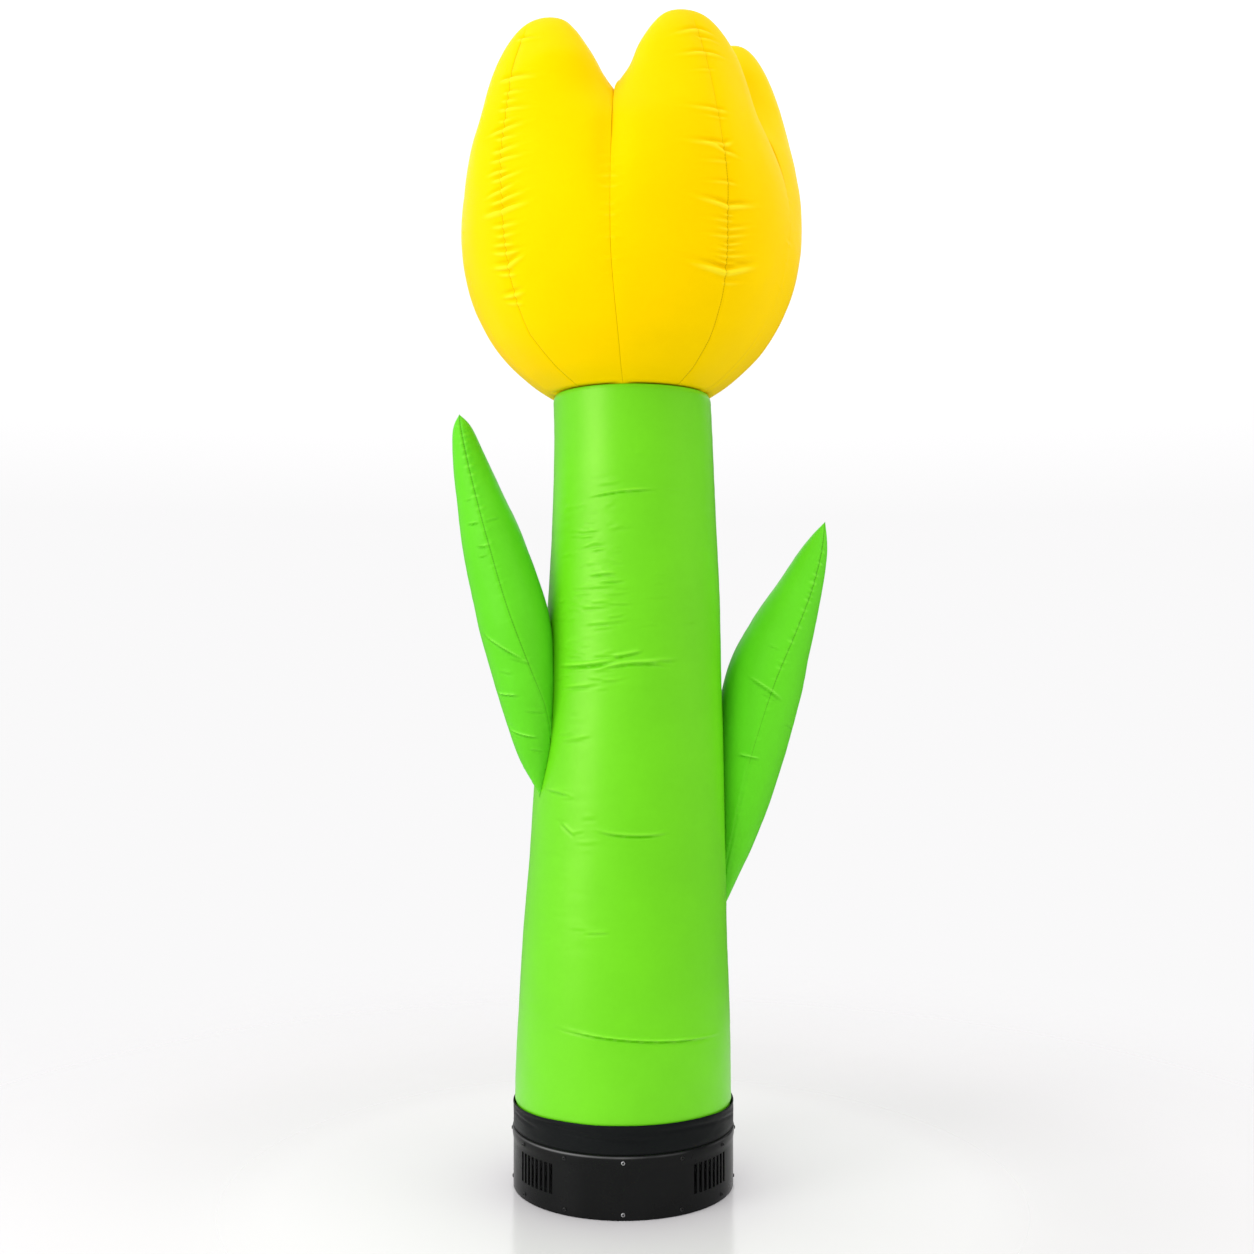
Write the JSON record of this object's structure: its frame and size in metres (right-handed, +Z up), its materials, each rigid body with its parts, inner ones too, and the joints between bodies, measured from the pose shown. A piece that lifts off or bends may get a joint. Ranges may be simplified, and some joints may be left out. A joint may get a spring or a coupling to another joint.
{
  "type": "inflatable tulip air column",
  "caption": "Inflatable tulip column: a head of fat yellow petals on a tapered green air-filled stem with pointed leaves, standing on a round black vented blower housing.",
  "frame": {"origin": "centre of the flat underside of the blower housing", "axes": "+Z up along the column, -Y towards the front view, +X to the right of that view"},
  "size_m": [0.7843, 0.7075, 2.369],
  "materials": {
    "petal_cloth": "coated woven cloth",
    "stem_cloth": "coated woven cloth",
    "leaf_cloth": "coated woven cloth",
    "cuff_cloth": "matte woven cloth",
    "housing": "satin black",
    "plate": "matte black",
    "screw": "plain steel"
  },
  "bodies": {
    "root": {"base_plate": "plate", "top_plate": "plate", "housing_band": "housing", "stem": "stem_cloth", "stem_cuff": "cuff_cloth", "leaf_left": "leaf_cloth", "leaf_right": "leaf_cloth", "petal_1": "petal_cloth", "petal_2": "petal_cloth", "petal_3": "petal_cloth", "petal_4": "petal_cloth", "petal_5": "petal_cloth", "screw_bottom_01": "screw", "screw_bottom_02": "screw", "screw_bottom_03": "screw", "screw_bottom_04": "screw", "screw_bottom_05": "screw", "screw_bottom_06": "screw", "screw_bottom_07": "screw", "screw_bottom_08": "screw", "screw_bottom_09": "screw", "screw_bottom_10": "screw", "screw_bottom_11": "screw", "screw_bottom_12": "screw", "screw_top_01": "screw", "screw_top_02": "screw", "screw_top_03": "screw", "screw_top_04": "screw", "screw_top_05": "screw", "screw_top_06": "screw", "screw_top_07": "screw", "screw_top_08": "screw", "screw_top_09": "screw", "screw_top_10": "screw", "screw_top_11": "screw", "screw_top_12": "screw"}
  },
  "joints": []
}
